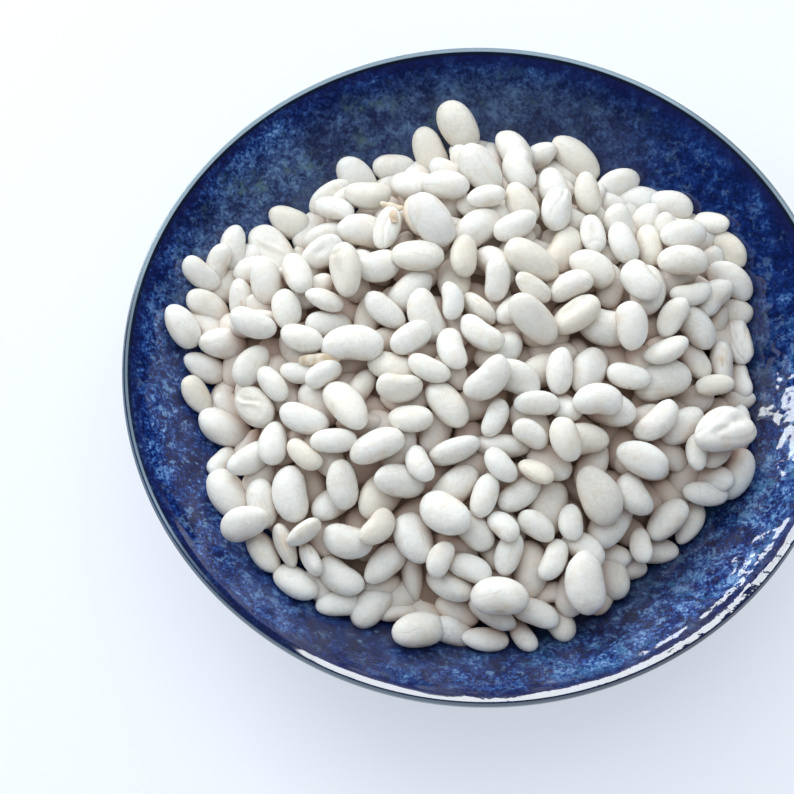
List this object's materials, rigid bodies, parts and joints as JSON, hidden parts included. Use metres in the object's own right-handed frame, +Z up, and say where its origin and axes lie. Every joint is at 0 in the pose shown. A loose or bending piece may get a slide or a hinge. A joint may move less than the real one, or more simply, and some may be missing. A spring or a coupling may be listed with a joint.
{
  "type": "bowl of dried beans",
  "caption": "Shallow round glazed stoneware bowl on a foot ring, heaped above its rim with dried white beans.",
  "frame": {"origin": "middle of the foot ring, on the surface that the bowl stands on", "axes": "+Z up along the bowl's axis; the heap was pictured from the -Y side"},
  "size_m": [0.2, 0.2, 0.0578],
  "materials": {
    "glaze": "gloss",
    "bean_skin": "satin"
  },
  "bodies": {
    "root": {"bowl": "glaze", "beans": "bean_skin"}
  },
  "joints": []
}
